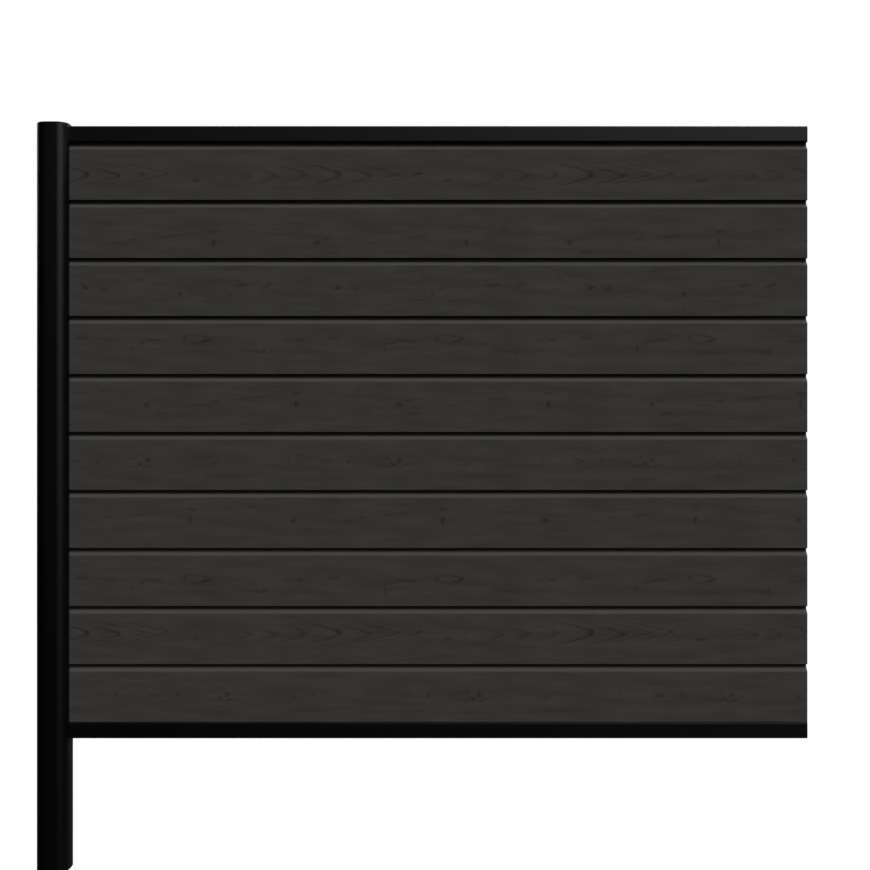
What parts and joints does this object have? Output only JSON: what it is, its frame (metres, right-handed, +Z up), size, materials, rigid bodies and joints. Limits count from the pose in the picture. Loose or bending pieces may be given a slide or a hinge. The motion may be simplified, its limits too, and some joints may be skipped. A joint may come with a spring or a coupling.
{
  "type": "fence panel",
  "caption": "Garden fence bay: round-cornered black aluminium post with a cap, carrying a panel of dark grey wood-grain composite boards between aluminium rails.",
  "frame": {"origin": "centre of the post's foot", "axes": "+Z up the post, +X along the panel to its free end, -Y out of the front face"},
  "size_m": [1.858, 0.078, 1.798],
  "materials": {
    "black_aluminium": "satin",
    "black_plastic": "satin",
    "composite_board": "matte",
    "seal_rubber": "matte",
    "stainless_steel": "satin"
  },
  "bodies": {
    "root": {"post": "black_aluminium", "post_cap": "black_plastic", "top_rail": "black_aluminium", "bottom_rail": "black_aluminium", "slot_seal_front": "seal_rubber", "slot_seal_rear": "seal_rubber", "slot_cover": "black_aluminium", "rail_bracket": "stainless_steel", "bracket_screws": "stainless_steel", "board_01": "composite_board", "board_02": "composite_board", "board_03": "composite_board", "board_04": "composite_board", "board_05": "composite_board", "board_06": "composite_board", "board_07": "composite_board", "board_08": "composite_board", "board_09": "composite_board", "board_10": "composite_board"}
  },
  "joints": []
}
